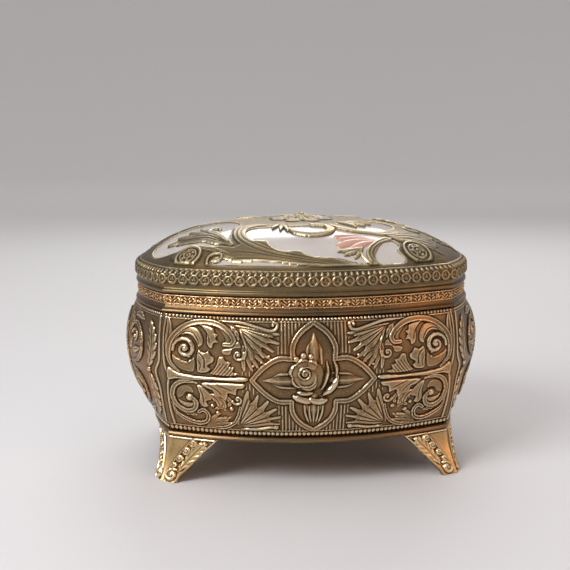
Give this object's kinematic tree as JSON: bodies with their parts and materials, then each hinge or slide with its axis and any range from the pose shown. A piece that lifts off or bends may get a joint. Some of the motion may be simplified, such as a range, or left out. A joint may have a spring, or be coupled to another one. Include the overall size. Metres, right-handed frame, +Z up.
{
  "type": "trinket box",
  "caption": "Vanity casket with bowed relief-cast panels on four bracket feet, gilt frieze, hinged domed lid with enamel fields, and a plush lining",
  "frame": {"origin": "on the table under the middle of the box", "axes": "+Z up, the front panel faces -Y, +X runs to the viewer's right along the long side"},
  "size_m": [0.11, 0.088, 0.0753],
  "materials": {
    "antique_cast": "antique champagne-gold plate, dark in the recesses, rubbed bright on the edges",
    "gilt_frieze": "bright orange-gold gilding over a stippled foliage frieze",
    "gilt_foot": "warm yellow gold plate, rubbed",
    "enamel_white": "glossy off-white cold enamel",
    "enamel_pink": "glossy salmon-pink cold enamel",
    "hinge_brass": "drawn brass, tarnished",
    "hinge_steel": "cut wire ends",
    "lining_card": "grey-brown board",
    "plush": "deep red plush"
  },
  "bodies": {
    "box": {"base_plate": "antique_cast", "front_panel": "antique_cast", "right_panel": "antique_cast", "back_panel": "antique_cast", "left_panel": "antique_cast", "shoulder_ring": "antique_cast", "gilt_collar": "gilt_frieze", "foot_front_left": "gilt_foot", "foot_front_right": "gilt_foot", "foot_back_left": "gilt_foot", "foot_back_right": "gilt_foot", "hinge_body_leaf": "hinge_brass", "hinge_body_rivets": "hinge_brass", "hinge_pin": "hinge_steel", "lining_floor_card": "lining_card", "lining_floor_pad": "plush", "lining_front": "plush", "lining_right": "plush", "lining_back": "plush", "lining_left": "plush"},
    "lid": {"lid_shell": "antique_cast", "lid_rosette": "antique_cast", "enamel_white": "enamel_white", "enamel_pink": "enamel_pink", "hinge_lid_leaf": "hinge_brass", "hinge_lid_rivets": "hinge_brass", "lining_lid_card": "lining_card", "lining_lid_pad": "plush"}
  },
  "joints": [
    {"name": "lid_hinge", "type": "hinge", "parent": "box", "child": "lid", "pos_m": [0, 0.04216, 0.0552], "axis": [-1, 0, 0], "range_deg": [0, 100]}
  ]
}
